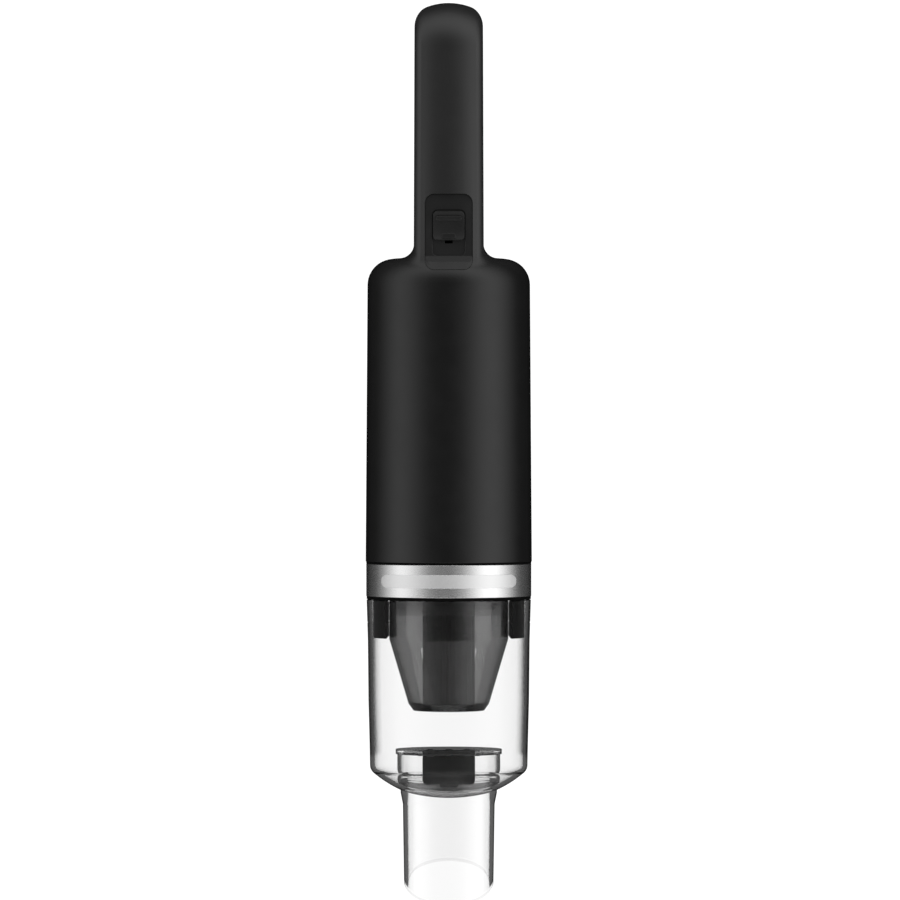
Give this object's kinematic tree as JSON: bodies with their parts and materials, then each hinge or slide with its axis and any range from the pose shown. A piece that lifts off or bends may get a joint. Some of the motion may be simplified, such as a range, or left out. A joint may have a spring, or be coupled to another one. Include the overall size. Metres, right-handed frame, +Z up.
{
  "type": "handheld vacuum",
  "caption": "Cordless hand vacuum with a looped handle, thumb slide switch, clear dust cup, smoked filter cup, flap valve and slanted oval nozzle.",
  "frame": {"origin": "centre of the footprint, on the table the vacuum lies on", "axes": "+Y along the body from the nozzle to the handle, +Z up out of the thumb-switch side, +X to the right when seen from above with the handle away"},
  "size_m": [0.0808, 0.4364, 0.0811],
  "materials": {
    "black_plastic": "satin black",
    "dark_plastic": "fine matte",
    "switch_plastic": "fine matte",
    "band_steel": "brushed around the body",
    "plate_steel": "polished",
    "clear_plastic": "clear",
    "smoked_plastic": "smoked clear",
    "soft_rubber": "matte",
    "flap_rubber": "satin",
    "filter_paper": "pleated",
    "foam": "open foam",
    "steel": "plain",
    "spring_steel": "wire",
    "magnet": "ferrite",
    "copper": "enamelled wire",
    "brass": "plain",
    "carbon": "carbon",
    "fan_plastic": "moulded",
    "cell_wrap": "shrink wrap",
    "holder_plastic": "moulded",
    "board_green": "solder mask",
    "chip_black": "moulded",
    "wire_red": "insulation",
    "lens": "frosted"
  },
  "bodies": {
    "main_body": {"front_shell": "black_plastic", "rear_shell": "black_plastic", "grip_cover": "black_plastic", "bar_cover": "black_plastic", "grip_liner": "soft_rubber", "foot_pad": "soft_rubber", "casing_screws": "steel", "trim_band": "band_steel", "name_plate": "plate_steel", "switch_bezel": "switch_plastic", "slide_switch": "chip_black", "bulkhead": "dark_plastic", "body_seal": "soft_rubber", "release_spring": "spring_steel", "fan_shroud": "dark_plastic", "motor_can": "steel", "end_bell": "dark_plastic", "bearings": "steel", "magnets": "magnet", "brushes": "carbon", "brush_holders": "brass", "motor_bushes": "soft_rubber", "front_holder": "holder_plastic", "rear_holder": "holder_plastic", "exhaust_filter": "foam", "battery_cells": "cell_wrap", "battery_holders": "holder_plastic", "battery_links": "steel", "circuit_board": "board_green", "board_parts": "chip_black", "board_screws": "steel", "wires": "wire_red", "charge_socket": "steel", "charge_light": "lens"},
    "power_slider": {"power_slider": "switch_plastic"},
    "release_button": {"release_button": "switch_plastic"},
    "rotor": {"impeller": "fan_plastic", "motor_shaft": "steel", "rotor_core": "steel", "rotor_windings": "copper", "commutator": "brass"},
    "filter": {"filter_cup": "smoked_plastic", "filter_seal": "soft_rubber", "filter_cap": "dark_plastic", "pleated_filter": "filter_paper", "filter_end_cap": "dark_plastic", "filter_pull": "dark_plastic"},
    "dust_cup": {"dust_cup": "clear_plastic", "inlet_duct": "clear_plastic", "nozzle": "clear_plastic", "flap_pin": "steel"},
    "flap": {"flap_valve": "flap_rubber"}
  },
  "joints": [
    {"name": "switch_slide", "type": "slide", "parent": "main_body", "child": "power_slider", "axis": [0, -1, 0], "range_m": [0, 0.007]},
    {"name": "release_press", "type": "slide", "parent": "main_body", "child": "release_button", "axis": [0, 0, 1], "range_m": [0, 0.0018], "stiffness_N_per_m": 800, "springref_m": -0.0015, "deforming": ["release_spring"]},
    {"name": "motor_spin", "type": "hinge", "parent": "main_body", "child": "rotor", "pos_m": [0, -0.0256, 0.0405], "axis": [0, 1, 0], "continuous": true},
    {"name": "filter_pull_out", "type": "slide", "parent": "main_body", "child": "filter", "axis": [0, -1, 0], "range_m": [0, 0.04]},
    {"name": "cup_pull_off", "type": "slide", "parent": "filter", "child": "dust_cup", "axis": [0, -1, 0], "range_m": [0, 0.075]},
    {"name": "flap_swing", "type": "hinge", "parent": "dust_cup", "child": "flap", "pos_m": [0, -0.1437, 0.0597], "axis": [-1, 0, 0], "range_deg": [0, 50]}
  ]
}
